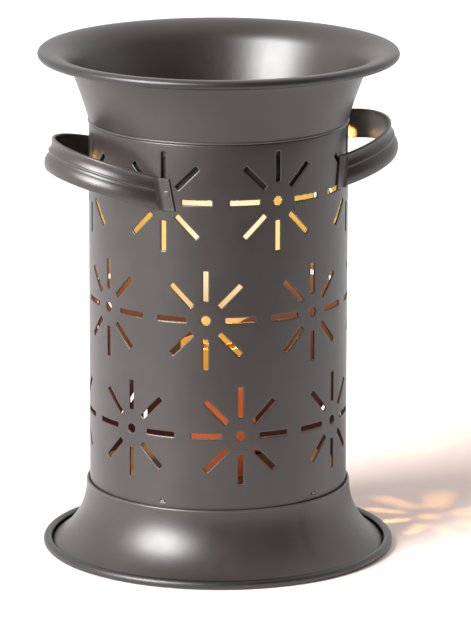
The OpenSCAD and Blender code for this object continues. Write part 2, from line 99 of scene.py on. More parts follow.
def number(name, description, default, unit="LENGTH", subtype="NONE"):
    """A length, or a number of another unit."""
    return FloatProperty(name=name, description=description, default=default, precision=5,
                         unit=unit, subtype=subtype)


def colour(name, description, default):
    """A linear colour that the panel shows as a swatch."""
    return FloatVectorProperty(name=name, description=description, default=default, size=3,
                               subtype="COLOR", min=0.0, max=1.0)


class WarmerSizes(bpy.types.PropertyGroup):
    """Sizes of the tin pieces and of the bulb."""
    sheet: number("Sheet", "Thickness of the tinplate", 0.55 * MM)
    bead: number("Bead radius", "Radius of the rolled bead on both rims", 1.6 * MM)
    body_radius: number("Tube radius", "Outer radius of the tube", high("body_shell", 0))
    body_top: number("Tube top", "Height of the tube's top edge", high("body_shell", 2))
    body_bottom: number("Tube bottom", "Height of the tube's lower edge", low("body_shell", 2))
    skirt_top: number("Skirt top", "Height of the skirt's folded edge", high("base_skirt", 2))
    base_radius: number("Base radius", "Outer radius of the foot's bead", reach("base_skirt"))
    skirt_flare: number("Skirt flare", "Radius of the skirt's flare", 26 * MM)
    skirt_collar: number("Skirt collar", "Straight stretch above the skirt's flare", 0.9 * MM)
    rim_radius: number("Rim radius", "Outer radius of the dish's bead", reach("wax_dish"))
    rim_top: number("Rim top", "Height of the dish's bead", high("wax_dish", 2))
    dish_floor: number("Dish floor", "Height of the dish's underside", low("wax_dish", 2))
    wall_bow: number("Wall bow", "Radius of the dish wall's bow", 150 * MM)
    wall_slope: number("Wall slope", "Slope of the dish's wall at the tube", radians(15.5),
                       "ROTATION", "ANGLE")
    ray_inner: number("Ray start", "From a star's middle to a ray's start", 6.7 * MM)
    ray_outer: number("Ray end", "From a star's middle to a ray's end", 17.5 * MM)
    ray_width: number("Ray width", "Width of a ray", 2.0 * MM)
    star_hole: number("Star hole", "Radius of a star's middle hole", 1.75 * MM)
    star_lift: number("First row", "Height of the lowest stars above the skirt", 26.418 * MM)
    star_rise: number("Row rise", "Height from one row to the next", 41.3105 * MM)
    strap_height: number("Strap height", "Height of a handle's strap", 11.1 * MM)
    strap_bulge: number("Strap bulge", "How far the strap's lower band stands out", 0.8 * MM)
    globe_radius: number("Globe radius", "Radius of the bulb's globe", high("bulb_glass", 0))
    globe_top: number("Globe top", "Height of the top of the globe", high("bulb_glass", 2))
    glass_bottom: number("Glass bottom", "Height of the glass's lower end", low("bulb_glass", 2))


class WarmerFinish(bpy.types.PropertyGroup):
    """Colours of the paint, the bare metal and the light."""
    paint: colour("Paint", "Satin paint on the tin", (0.0225, 0.0162, 0.0145))
    paint_dark: colour("Paint, dark", "Darker clouds in the paint", (0.0148, 0.0104, 0.0092))
    # Rubbed paint, and on the slots' lips partly a painted highlight on the cut edge
    worn: colour("Worn edge", "Paint rubbed thin along edges", (0.13, 0.118, 0.112))
    # Painted shade on the undersides of the rolled beads
    grime: colour("Grime", "Painted shade on the rolled beads", (0.003, 0.0025, 0.0024))
    inside_low: colour("Inside, low", "Inside of the tube at its foot", (0.009, 0.0046, 0.0145))
    inside: colour("Inside", "Inside of the tube below the bulb", (0.0155, 0.0084, 0.016))
    inside_top: colour("Inside, top", "Inside of the tube round the bulb", (0.037, 0.041, 0.034))
    glow: colour("Glow", "Light of the bulb", (1.0, 0.53, 0.125))
    globe: colour("Globe", "Lit glass square to the filament", (1.0, 0.84, 0.54))
    globe_side: colour("Globe, side", "Lit glass in line with the filament", (0.95, 0.64, 0.2))
    globe_low: colour("Globe, low", "Lit glass towards its neck", (0.62, 0.27, 0.042))
    tin: colour("Bare tin", "Bare tinplate", (0.42, 0.41, 0.39))
    browned: colour("Browned tin", "Tinplate browned by the bulb's heat", (0.25, 0.21, 0.21))
    sleeve: colour("Sleeve", "Browned card of the lamp holder's sleeve", (0.42, 0.15, 0.065))
    sleeve_glow: colour("Sleeve glow", "Light through the sleeve", (0.38, 0.07, 0.018))
    sleeve_top: colour("Sleeve top", "Light through the sleeve's top", (0.72, 0.31, 0.045))
    soot: colour("Soot", "Underside of the dish over the bulb", (0.015, 0.0125, 0.011))
    zinc: colour("Zinc", "Zinc plated steel", (0.55, 0.56, 0.57))
    brass: colour("Brass", "Brass sheet", (0.62, 0.44, 0.18))
    heated_brass: colour("Heated brass", "Brass browned by the bulb's heat", (0.55, 0.3, 0.09))
    moulding: colour("Moulding", "Black moulded plastic", (0.02, 0.019, 0.0185))
    floor: colour("Floor", "Pale floor", (0.92, 0.91, 0.905))
    floor_front: colour("Floor, front", "Floor that reflections show in front", (0.22, 0.213, 0.21))
    # Painted warm light of the bulb on the floor near the warmer
    floor_warm: colour("Floor, warm", "Floor that the camera sees by the lamp", (0.98, 0.81, 0.745))
    key_power: number("Key light", "Power of the soft key light", 690.0, "POWER", "POWER")
    bulb_power: number("Bulb light", "Power of the light in the bulb", 1.8, "POWER", "POWER")


class Wire:
    """A socket of a node tree, so that shader maths is written as expressions."""

    def __init__(self, tree, socket=None):
        self.tree = tree
        self.socket = socket

    def node(self, kind, inputs=None, output=0, **settings):
        """Adds a node: its settings first, then the values or links of its sockets."""
        made = self.tree.nodes.new(kind)
        for name, value in settings.items():
            setattr(made, name, value)
        for key, value in (inputs or {}).items():
            if isinstance(value, Wire):
                self.tree.links.new(value.socket, made.inputs[key])
            else:
                made.inputs[key].default_value = value
        return Wire(self.tree, made.outputs[output] if len(made.outputs) else None)

    def maths(self, operation, first, second=0.0):
        return self.node("ShaderNodeMath", {0: first, 1: second}, operation=operation)

    def __add__(self, other):
        return self.maths("ADD", self, other)

    def __radd__(self, other):
        return self.maths("ADD", other, self)

    def __sub__(self, other):
        return self.maths("SUBTRACT", self, other)

    def __rsub__(self, other):
        return self.maths("SUBTRACT", other, self)

    def __mul__(self, other):
        return self.maths("MULTIPLY", self, other)

    def clamp(self):
        return self.node("ShaderNodeClamp", {0: self})

    def smooth(self, start, end):
        """0 below start, 1 above end, eased between."""
        return self.node("ShaderNodeMapRange", {0: self, 1: start, 2: end},
                         interpolation_type="SMOOTHSTEP")

    def mix(self, first, second):
        """A colour between two, by this factor."""
        first, second = (c if isinstance(c, Wire) else (*c, 1.0) for c in (first, second))
        return self.node("ShaderNodeMix", {0: self, MIX_FIRST: first, MIX_SECOND: second},
                         MIX_RESULT, data_type="RGBA")

    def noise(self, place, scale, detail=2.0, rough=0.5):
        return self.node("ShaderNodeTexNoise",
                         {"Vector": place, "Scale": scale, "Detail": detail, "Roughness": rough})

    def place(self, kind="Object"):
        """The place of a shaded point; an object's own coordinates are the shared frame's."""
        return self.node("ShaderNodeTexCoord", output=kind)

    def axis(self, name):
        return self.node("ShaderNodeSeparateXYZ", {0: self}, name)

    def ray(self, kind):
        """1 on rays of one kind, 0 on the others."""
        return self.node("ShaderNodeLightPath", output=kind)


def toned(shade, tone):
    """A colour made darker or lighter."""
    return [tone * part for part in shade]


def surface(start, **sockets):
    """The principled shader of a material, linked to its output."""
    names = {key.replace("_", " "): value for key, value in sockets.items()}
    shader = start.node("ShaderNodeBsdfPrincipled", names)
    start.node("ShaderNodeOutputMaterial", {"Surface": shader})


def stretched(start, scale):
    """Object coordinates, stretched along the axes."""
    return start.node("ShaderNodeMapping", {"Vector": start.place(), "Scale": scale})


def bumped(start, height, strength, distance=0.1 * MM):
    return start.node("ShaderNodeBump",
                      {"Strength": strength, "Distance": distance, "Height": height})


def painted_tin(start, finish):
    """Satin paint on tin: soft clouds, fine orange peel, rubbed edges and painted shade on the
    beads.
    """
    place = start.place()
    clouds = start.noise(place, scale=38.0, detail=3.0)
    mottle = start.noise(stretched(start, (1.0, 1.0, 0.45)), scale=260.0, detail=4.0, rough=0.6)
    peel = start.noise(place, scale=1900.0)
    rub = start.node("ShaderNodeAttribute", output="Fac", attribute_name="wear")
    shade = (clouds.smooth(0.35, 0.68) * 0.75 + mottle * 0.35 - 0.05).clamp()
    paint = shade.mix(finish.paint_dark, finish.paint)
    # Painted shade: below 0 the layer darkens the paint towards the near black bead shade
    paint = (0 - rub).clamp().mix(paint, finish.grime)
    worn = (rub * (0.35 + mottle * 1.1)).clamp()
    height = peel * 0.7 + mottle * 0.6
    surface(start, Base_Color=worn.mix(paint, finish.worn), IOR=1.6,
            Roughness=0.32 + mottle * 0.1 - rub * 0.05,
            Normal=bumped(start, height, 0.26, distance=0.12 * MM))


def inside_tin(start, finish):
    """Inside of the tube: darker towards its foot, lighter round the bulb."""
    foot_band, bulb_band = (35 * MM, 75 * MM), (84 * MM, 118 * MM)
    place = start.place()
    mottle = start.noise(place, scale=150.0, detail=4.0, rough=0.6)
    cloud = place.axis("Z") + mottle * BLUR - BLUR / 2
    lower = cloud.smooth(*foot_band).mix(finish.inside_low, finish.inside)
    surface(start, Base_Color=cloud.smooth(*bulb_band).mix(lower, finish.inside_top),
            Roughness=0.6 + mottle * 0.15, Specular_IOR_Level=0.1)


def rolled_metal(start, finish, shade_name, rough, streak):
    """Bare metal with faint rolling marks and a little tarnish."""
    shade = getattr(finish, shade_name)
    marks = start.noise(stretched(start, streak), scale=900.0, detail=3.0, rough=0.6)
    tarnish = start.noise(start.place(), scale=120.0, detail=4.0, rough=0.6).smooth(0.4, 0.75)
    surface(start, Base_Color=tarnish.mix(shade, toned(shade, 0.62)), Metallic=1.0,
            Roughness=rough + marks * 0.16 + tarnish * 0.12, Normal=bumped(start, marks, 0.05))


def black_moulding(start, finish):
    """Matt black moulding with a fine spark-eroded grain."""
    place = start.place()
    grain = start.noise(place, scale=2400.0, detail=3.0, rough=0.6)
    dust = start.noise(place, scale=180.0, detail=3.0).smooth(0.5, 0.8)
    surface(start, Base_Color=dust.mix(finish.moulding, toned(finish.moulding, 2.2)),
            Roughness=0.5 + grain * 0.2, Specular_IOR_Level=0.15, Normal=bumped(start, grain, 0.12))


def lit_glass(start, finish, strength, dim, bright):
    """Frosted glass lit from inside, hotter upwards from one height to another."""
    filament_middle, filament_ends = 3 * MM, (10 * MM, 22 * MM)
    thin_frost, thick_frost = (0.06, 0.05, 0.03), (0.09, 0.075, 0.05)
    place = start.place()
    frost = start.noise(place, scale=700.0, detail=3.0)
    wander = start.noise(place, scale=40.0) * BLUR - BLUR / 2
    bloom = (place.axis("Z") + wander).smooth(dim, bright)
    aside = start.maths("ABSOLUTE", place.axis("X") - filament_middle).smooth(*filament_ends)
    hot = aside.mix(finish.globe, finish.globe_side)
    surface(start, Base_Color=frost.mix(thin_frost, thick_frost), Roughness=0.3 + frost * 0.2,
            Emission_Color=bloom.mix(finish.globe_low, hot), Emission_Strength=strength)


def sooted_tin(start, finish):
    """Dark tin in clouds, on the dish's underside below the tube's top."""
    cloud = start.noise(start.place(), scale=90.0, detail=4.0, rough=0.6)
    surface(start, Base_Color=cloud.smooth(0.4, 0.7).mix(finish.soot, toned(finish.soot, 2.2)),
            Roughness=0.55 + cloud * 0.2, Specular_IOR_Level=0.2)


def browned_card(start, finish):
    """Brown card sleeve, near black towards the bulb, with a painted glow of the bulb's light
    through it, brightest at its top.
    """
    lit, dark_span, hot = (26 * MM, 52 * MM), (58 * MM, 70 * MM), (58 * MM, 72 * MM)
    fibre = start.noise(stretched(start, (1.0, 1.0, 0.2)), scale=800.0, detail=4.0, rough=0.6)
    height = start.place().axis("Z")
    # Base colour near black towards the bulb, where the painted glow stands in for the lamp's light
    # on the card
    dark_top = (height + fibre * (3 * MM)).smooth(*dark_span)
    # Painted glow: the card emits light though it is no lamp
    glow = (height + fibre * (6 * MM)).smooth(*lit)
    glow = glow.mix(toned(finish.sleeve_glow, 0.12), finish.sleeve_glow)
    glow = (height + fibre * (4 * MM)).smooth(*hot).mix(glow, finish.sleeve_top)
    surface(start, Base_Color=dark_top.mix(finish.sleeve, toned(finish.sleeve, 0.03)),
            Roughness=0.7 + fibre * 0.15, Specular_IOR_Level=0.0, Emission_Color=glow,
            Emission_Strength=1.0, Normal=bumped(start, fibre, 0.1))


def pale_floor(start, finish):
    """Floor that is dim in front in reflections, and painted warm near the warmer to the camera,
    standing in for the bulb's light in the shadow.
    """
    dim, warm_end = (0.14, 0.5), (0.3, 0.9)
    place = start.place()
    cast = start.noise(place, scale=2.0)
    seen = start.ray("Is Camera Ray")
    front = (0.0 - place.axis("Y") + cast * 0.04).smooth(*dim) * (1 - seen)
    pale = front.mix(finish.floor, finish.floor_front)
    far = start.node("ShaderNodeVectorMath", {0: place}, "Value", operation="LENGTH")
    # Painted light: the bulb's warm light on the floor, for camera rays only
    warm = seen * (1 - far.smooth(*warm_end))
    surface(start, Base_Color=warm.mix(pale, finish.floor_warm), Roughness=0.7)


def material(make, *values, name=None):
    """A material that its function makes once, named like it or by name."""
    name = name or make.__name__
    made = bpy.data.materials.get(name)
    if not made:
        made = bpy.data.materials.new(name)
        made.use_nodes = True
        made.node_tree.nodes.clear()
        make(Wire(made.node_tree), bpy.context.scene.warmer_finish, *values)
    return made


def metal(name):
    return material(rolled_metal, *METALS[name], name=name)


def arc(centre, radius, start, end, steps=24):
    """Points along an arc, angles in degrees."""
    turns = [radians(start + (end - start) * i / steps) for i in range(steps + 1)]
    return [(centre[0] + radius * cos(t), centre[1] + radius * sin(t)) for t in turns]


def round_point(radius, azimuth, height):
    """Point at an azimuth in radians from the front, a quarter turn towards +X."""
    return Vector((radius * sin(azimuth), -radius * cos(azimuth), height))


def new_bmesh():
    """An empty mesh and its layer of rubbed paint and painted shade: rubbed above 0, painted shade
    below 0.
    """
    bm = bmesh.new()
    return bm, bm.verts.layers.float.new("wear")


def dot(bm, wear, at, worn):
    """A point of a mesh and its value of rubbing and painted shade."""
    vert = bm.verts.new(at)
    vert[wear] = worn
    return vert


def lathe(bm, wear, outline, worn=None, segments=SEGMENTS, closed=True):
    """Turns an outline of (radius, height) points round the axis; worn gives a point's rubbing and
    painted shade.
    """
    rings = []
    for radius, height in outline:
        count = segments if radius > 0.01 * MM else 1
        rub = worn(radius, height) if worn else 0.0
        places = [round_point(radius, tau * i / count, height) for i in range(count)]
        rings.append([dot(bm, wear, at, rub) for at in places])
    nexts = rings[1:] + rings[:1] if closed else rings[1:]
    for ring, other in zip(rings, nexts):
        for i in range(segments if len(ring) + len(other) > 2 else 0):
            corners = [ring[i % len(ring)], ring[(i + 1) % len(ring)],
                       other[(i + 1) % len(other)], other[i % len(other)]]
            bm.faces.new(dict.fromkeys(corners))


def bridge(bm, line, other, closed=False):
    """Quads between two lines of as many points, or between two loops."""
    for i in range(len(line) if closed else len(line) - 1):
        j = (i + 1) % len(line)
        bm.faces.new((line[i], line[j], other[j], other[i]))


def tidy_mesh(bm):
    """Joins points that meet and turns every face outwards."""
    bmesh.ops.remove_doubles(bm, verts=bm.verts, dist=MERGE)
    bmesh.ops.dissolve_degenerate(bm, edges=bm.edges, dist=MERGE)
    bmesh.ops.recalc_face_normals(bm, faces=bm.faces)


def mesh_of(name, bm):
    mesh = bpy.data.meshes.new(name)
    bm.to_mesh(mesh)
    bm.free()
    return mesh


def put(name, data, **settings):
    """An object of a mesh, or of a light or camera with these settings, in the scene."""
    for key, value in settings.items():
        setattr(data, key, value)
    made = bpy.data.objects.new(name, data)
    bpy.context.scene.collection.objects.link(made)
    return made


def piece(name, bm, paints, node, body="warmer"):
    """An object of a mesh, smooth but for its sharp edges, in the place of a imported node."""
    mesh = mesh_of(name, bm)
    mesh.polygons.foreach_set("use_smooth", [True] * len(mesh.polygons))
    mesh.set_sharp_from_angle(angle=SHARP)
    for paint in paints:
        mesh.materials.append(paint)
    made = put(name, mesh)
    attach(made, body)
    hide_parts(node)
    return made


def dress(made, *nodes):
    """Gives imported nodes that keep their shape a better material."""
    for name in nodes:
        mesh = frame["nodes"][name].data
        mesh.materials.clear()
        mesh.materials.append(made)


class WARMER_OT_wax_dish(bpy.types.Operator):
    """Flared dish with a rolled rim that drops into the tube"""
    bl_idname = "warmer.wax_dish"
    bl_label = "Wax dish"

    # Angle of the lip in degrees, radii of the hem on the tube and of the bend at the floor
    lip, hem, bend = 93.0, 0.42 * MM, 1.2 * MM
    # Gaps: shoulder to tube, wall to shoulder, ledge to tube, spigot to fold, rim to packed top
    shoulder_out, wall_out, ledge_in = 0.35 * MM, 0.1 * MM, 0.3 * MM
    spigot_gap, rim_drop = 0.3 * MM, 0.02 * MM

    def execute(self, context):
        s = context.scene.warmer_sizes
        sheet, bead, hem, bend = s.sheet, s.bead, self.hem, self.bend
        rim = (s.rim_radius - bead, s.rim_top - bead - self.rim_drop)
        shoulder = (s.body_radius + self.shoulder_out - hem, s.body_top + hem)
        foot = (shoulder[0] + self.wall_out, shoulder[1] + hem)
        slope = degrees(s.wall_slope)
        turn = 180 - self.lip
        edge = arc(rim, bead - sheet, turn, turn, 1)[0]
        bow, break_slope, flare, centre = self.flare(foot, edge, slope, s.wall_bow)
        spigot = s.body_radius - 2 * sheet - self.spigot_gap
        ledge = s.body_top + 2 * hem
        corner = (spigot - bend, s.dish_floor + bend)
        wall = (180 - slope, 180 - break_slope)
        outline = [(0.0, s.dish_floor)]
        outline += arc(corner, bend, -90, 0, 10)
        outline += [(spigot, s.body_top)]
        outline += arc(shoulder, hem, -90, 60, 10)
        outline += arc(bow, s.wall_bow, *wall, 16)
        outline += arc(centre, flare, wall[1], turn, 32)
        outline += arc(rim, bead - sheet, turn, turn - BEAD_CURL, 24)
        outline += arc(rim, bead, turn - BEAD_CURL, turn, 36)
        outline += arc(centre, flare + sheet, turn, wall[1], 32)
        outline += arc(bow, s.wall_bow + sheet, wall[1], wall[0], 16)
        outline += [(s.body_radius - self.ledge_in, ledge), (spigot - sheet, ledge)]
        outline += arc(corner, bend - sheet, 0, -90, 10)
        outline += [(0.0, s.dish_floor + sheet)]

        def worn(radius, height):
            from_rim = hypot(radius - rim[0], height - rim[1]) / bead
            # Painted shade on the bead below its crown; rubbing on the hem
            under_bead = 0.85 < from_rim < 1.05 and height < rim[1] + 0.7 * bead
            on_hem = abs(height - shoulder[1]) < hem and radius > shoulder[0]
            return FOLD_WEAR * on_hem - BEAD_SHADE * under_bead

        bm, wear = new_bmesh()
        lathe(bm, wear, outline, worn)
        tidy_mesh(bm)
        for face in bm.faces:
            middle = face.calc_center_median()
            out = Vector((middle.x, middle.y, 0.0)).normalized()
            inside = face.normal.dot(out) < 0.5 and face.normal.z > -0.5
            face.material_index = int(middle.z < s.body_top and not inside)
        paints = [material(painted_tin), material(sooted_tin)]
        piece("tin_wax_dish", bm, paints, "wax_dish", "dish")
        return {"FINISHED"}

    def flare(self, foot, edge, slope, bow_radius):
        """A gently bowed wall and the tighter arc that carries it out to the rim's edge."""
        start, end = radians(slope), radians(self.lip)
        bow = (foot[0] + bow_radius * cos(start), foot[1] - bow_radius * sin(start))
        near, far = start, radians(60)
        for _ in range(60):
            middle = (near + far) / 2
            top = (bow[0] - bow_radius * cos(middle), bow[1] + bow_radius * sin(middle))
            radius = (edge[0] - top[0]) / (cos(middle) - cos(end))
            low_edge = top[1] + radius * (sin(end) - sin(middle)) < edge[1]
            near, far = (middle, far) if low_edge else (near, middle)
        centre = (top[0] + radius * cos(middle), top[1] - radius * sin(middle))
        return bow, degrees(middle), radius, centre


class WARMER_OT_base_skirt(bpy.types.Operator):
    """Flared skirt with a folded top edge, a bead foot and the cord's hole"""
    bl_idname = "warmer.base_skirt"
    bl_label = "Base skirt"

    # Depth of the folded edge, and how much of the bead is cut flat to stand on
    hem, foot_flat = 3 * MM, 0.2 * MM
    # Lap seam: azimuth and fade in degrees, lift, and the heights between which it grows
    seam, seam_fade, seam_lift = 38.0, 32.0, 0.28 * MM
    seam_from, seam_full = 4 * MM, 7 * MM
    # Radius of the cord's hole, and the length of the cylinder that cuts it
    inlet_radius, inlet_depth = 5.1 * MM, 9 * MM

    def execute(self, context):
        s = context.scene.warmer_sizes
        sheet, bead, flare = s.sheet, s.bead, s.skirt_flare
        inner = s.body_radius + NEST_GAP
        neck = inner + 2 * sheet
        foot = (s.base_radius - bead, bead - self.foot_flat)
        span = flare + sheet - bead
        turn = 180 + degrees(acos((neck + flare - foot[0]) / span))
        centre = (neck + flare, s.skirt_top - s.skirt_collar)
        fold = (neck - sheet, s.skirt_top - sheet)
        outline = arc(centre, flare, 180, turn, 40)
        outline += arc(foot, bead - sheet, turn, turn + BEAD_CURL, 24)
        outline += arc(foot, bead, turn + BEAD_CURL, turn, 36)
        outline += arc(centre, flare + sheet, turn, 180, 40)
        outline += [(neck - sheet, s.skirt_top - self.hem), (inner, s.skirt_top - self.hem)]
        outline += arc(fold, sheet, 180, 0, 10)
        outline = [(radius, max(height, 0.0)) for radius, height in outline]

        def worn(radius, height):
            # Rubbing on the fold; painted shade on the outer half of the foot's bead
            on_fold = height > fold[1] - 0.1 * MM
            from_foot = hypot(radius - foot[0], height - foot[1]) / bead
            return FOLD_WEAR * on_fold - BEAD_SHADE * (from_foot > 0.85 and radius > foot[0])

        bm, wear = new_bmesh()
        lathe(bm, wear, outline, worn)
        self.lap(bm, centre)
        tidy_mesh(bm)
        self.cut_inlet(piece("tin_base_skirt", bm, [material(painted_tin)], "base_skirt"))
        return {"FINISHED"}

    def lap(self, bm, centre):
        """Lifts the sheet along one side of the skirt's seam, square to its flare."""
        for vert in bm.verts:
            azimuth = degrees(atan2(vert.co.x, -vert.co.y))
            past = azimuth - self.seam
            if 0 < past < self.seam_fade:
                radius = hypot(vert.co.x, vert.co.y)
                grown = (vert.co.z - self.seam_from) / (self.seam_full - self.seam_from)
                lift = self.seam_lift * min(max(grown, 0.0), 1.0)
                lift *= (1 - past / self.seam_fade) ** 2
                away = Vector((centre[0] - radius, max(centre[1] - vert.co.z, 0.0))).normalized()
                vert.co += round_point(lift * away.x, radians(azimuth), lift * away.y)

    def cut_inlet(self, made):
        """Cuts the hole that the cord's bushing sits in."""
        inlet = next(m for m in frame["record"]["mounts"] if m["name"] == "cord_inlet")
        aim = Vector(inlet["axis"]).to_track_quat("Z", "Y").to_matrix().to_4x4()
        bm = bmesh.new()
        bmesh.ops.create_cone(bm, cap_ends=True, segments=48, radius1=self.inlet_radius,
                              radius2=self.inlet_radius, depth=self.inlet_depth,
                              matrix=Matrix.Translation(inlet["pos_m"]) @ aim)
        cutter = put("inlet_cutter", mesh_of("inlet_cutter", bm))
        cut = made.modifiers.new("inlet", "BOOLEAN")
        cut.operation = "DIFFERENCE"
        cut.solver = "EXACT"
        cut.object = cutter
        ready = made.evaluated_get(bpy.context.evaluated_depsgraph_get())
        mesh = bpy.data.meshes.new_from_object(ready)
        made.modifiers.clear()
        made.data = mesh
        mesh.set_sharp_from_angle(angle=SHARP)
        bpy.data.objects.remove(cutter)


class WARMER_OT_body_shell(bpy.types.Operator):
    """Rolled tube punched with rows of stars, its top folded and its seam lapped at the back"""
    bl_idname = "warmer.body_shell"
    bl_label = "Punched tube"

    # Azimuths of the first star of each row, lowest row first, and of the lap's edge
    first_stars = (-144.3, -108.3, -127.4)
    lap_edge = 186.4
    stars, star_pitch, rays, ray_corner = 6, 360 / 7, 8, 0.45 * MM
    # Slots for the socket plate's tabs: azimuth of the first, number, half size, corner
    first_tab, tabs = -25.0, 5
    tab_half, tab_corner = (1.0 * MM, 0.55 * MM), 0.2 * MM
    # Rings from the outer face into a slot: how far grown, how deep, how worn; the worn lip is
    # partly rubbed paint and partly a painted highlight on the cut edge
    pressed = ((0.55 * MM, 0.0, 0.0), (0.22 * MM, 0.0, 0.0),
               (0.0, 0.1 * MM, 0.3), (-0.12 * MM, 0.32 * MM, 0.05))
    inner_grow = -0.12 * MM
    # Depth of the fold at the top, the stretch before the lap's edge where the sheet rises
    hem = 5 * MM
    rise_from, rise_to = 10.5 * MM, 8 * MM
    # Cells of the mesh round and up the tube, and how far they keep clear of a slot
    columns, rows, clear = 144, 30, 1.3 * MM

    def execute(self, context):
        s = context.scene.warmer_sizes
        self.radius = s.body_radius
        self.around = tau * s.body_radius
        self.sheet = s.sheet
        slots = self.slot_places(s)
        bm, wear = new_bmesh()
        top, bottom, hem = s.body_top - s.sheet, s.body_bottom, s.body_top - self.hem
        inner = (self.inner_grow, s.sheet, 0.0)
        self.sheet_side(bm, wear, slots, self.pressed[0], bottom, top, True)
        self.sheet_side(bm, wear, slots, inner, bottom, hem, False)
        for slot in slots:
            self.slot_wall(bm, wear, slot, [*self.pressed, inner])
        self.edge_strip(bm, [(0.0, bottom), (s.sheet, bottom)])
        rolled = [(s.sheet - x, top + y) for x, y in arc((0, 0), s.sheet, 0, 180, 10)]
        self.edge_strip(bm, [*rolled, (2 * s.sheet, hem), (s.sheet, hem)])
        self.lap_step(bm, bottom, top)
        tidy_mesh(bm)
        for face in bm.faces:
            middle = face.calc_center_median()
            out = Vector((middle.x, middle.y, 0))
            deep = s.body_radius - out.length > 0.3 * s.sheet
            face.material_index = int(deep and face.normal.dot(out.normalized()) < 0.5)
        paints = [material(painted_tin), material(inside_tin)]
        piece("tin_body_shell", bm, paints, "body_shell")
        return {"FINISHED"}

    def slot_places(self, s):
        """Every ray, hole and tab slot of the flat sheet: middle, turn, half size, corner."""
        slots = []
        middle = (s.ray_inner + s.ray_outer) / 2
        half = ((s.ray_outer - s.ray_inner) / 2, s.ray_width / 2)
        for row, first in enumerate(self.first_stars):
            height = s.skirt_top + s.star_lift + row * s.star_rise
            for star in range(self.stars):
                along = self.along(first + star * self.star_pitch)
                for ray in range(self.rays):
                    turn = radians(90 + 360 / self.rays * ray)
                    at = (along + middle * cos(turn), height + middle * sin(turn))
                    slots.append((at, turn, half, self.ray_corner))
                slots.append(((along, height), 0.0, (s.star_hole, s.star_hole), s.star_hole))
        tab_height = (low("socket_plate", 2) + high("socket_plate", 2)) / 2
        for tab in range(self.tabs):
            at = (self.along(self.first_tab + 360 / self.tabs * tab), tab_height)
            slots.append((at, 0.0, self.tab_half, self.tab_corner))
        return slots

    def along(self, azimuth):
        """Distance along the flat sheet from the lap's edge to an azimuth."""
        return (azimuth - self.lap_edge) % 360 / 360 * self.around

    def rise(self, along):
        """How far the lap lifts the sheet off the end that it covers."""
        part = (along - self.around + self.rise_from) / (self.rise_from - self.rise_to)
        part = min(max(part, 0.0), 1.0)
        return 0.5 * self.sheet * part * part * (3 - 2 * part)

    def wrap(self, along, height, deep, lapped=True):
        """Point of the flat sheet rolled round the axis, deep below the outer face."""
        lift = 0.0
        if lapped and deep < self.sheet:
            lift = self.rise(along) * (1 - deep / self.sheet)
        azimuth = radians(self.lap_edge) + along / self.radius
        return round_point(self.radius - deep + lift, azimuth, height)

    def outline(self, slot, grow):
        """Outline of a slot on the flat sheet, round at its corners and fine enough to roll."""
        (x, y), turn, half, corner = slot
        wide, tall, bend = half[0] + grow, half[1] + grow, corner + grow
        points = []
        for quarter, (sx, sy) in enumerate(((1, 1), (-1, 1), (-1, -1), (1, -1))):
            centre = (sx * (wide - bend), sy * (tall - bend))
            points += arc(centre, bend, 90 * quarter, 90 * quarter + 90, 4)
        fine = []
        for start, end in zip(points, points[1:] + points[:1]):
            gap = hypot(end[0] - start[0], end[1] - start[1])
            parts = 6 if gap > 4 * MM else 2 if gap > 0.9 * MM else 1
            fine += [(start[0] + (end[0] - start[0]) * i / parts,
                      start[1] + (end[1] - start[1]) * i / parts) for i in range(parts)]
        c, n = cos(turn), sin(turn)
        return [(x + c * u - n * v, y + n * u + c * v) for u, v in fine]

    def column(self, i):
        return self.around * i / self.columns

    def heights(self, bottom, top):
        return [bottom + (top - bottom) * k / self.rows for k in range(self.rows + 1)]

    def sheet_side(self, bm, wear, slots, ring, bottom, top, lapped):
        """One face of the sheet, triangulated flat round its slots and then rolled."""
        grow, deep, worn = ring
        tall = self.heights(bottom, top)
        n = self.columns
        points = [Vector((self.column(i), bottom)) for i in range(n + 1)]
        points += [Vector((self.around, z)) for z in tall[1:-1]]
        points += [Vector((self.column(i), top)) for i in range(n, -1, -1)]
        points += [Vector((0.0, z)) for z in tall[-2:0:-1]]
        edge = len(points)
        loops = [list(range(edge))]
        for slot in slots:
            outline = self.outline(slot, grow)
            loops.append(list(range(len(points), len(points) + len(outline))))
            points += [Vector(p) for p in outline]
        on_slots = len(points)
        for z in tall[1:-1]:
            for i in range(1, n):
                if not self.near_slot(slots, self.column(i), z):
                    points.append(Vector((self.column(i), z)))
        flat, _, faces, origins, _, kinds = delaunay_2d_cdt(points, [], loops, 1, 1e-9)
        verts = []
        for place, origin in zip(flat, origins):
            rub = worn if any(edge <= k < on_slots for k in origin) else 0.0
            verts.append(dot(bm, wear, self.wrap(place.x, place.y, deep, lapped), rub))
        for face, kind in zip(faces, kinds):
            if list(kind) == [0]:
                bm.faces.new([verts[k] for k in face])
        for vert in [v for v in verts if not v.link_faces]:
            bm.verts.remove(vert)

    def near_slot(self, slots, along, height):
        """Whether a point of the sheet is in a slot or too close to one for a good mesh."""
        for (x, y), turn, half, _ in slots:
            dx, dy = along - x, height - y
            if abs(dx) + abs(dy) > 20 * MM:
                continue
            c, n = cos(turn), sin(turn)
            wide, tall = abs(c * dx + n * dy), abs(c * dy - n * dx)
            if wide < half[0] + self.clear and tall < half[1] + self.clear:
                return True
        return False

    def slot_wall(self, bm, wear, slot, rings):
        """Edge of a slot, pressed inwards by the punch."""
        loops = [[dot(bm, wear, self.wrap(*place, deep), worn)
                  for place in self.outline(slot, grow)] for grow, deep, worn in rings]
        for loop, other in zip(loops, loops[1:]):
            bridge(bm, loop, other, closed=True)

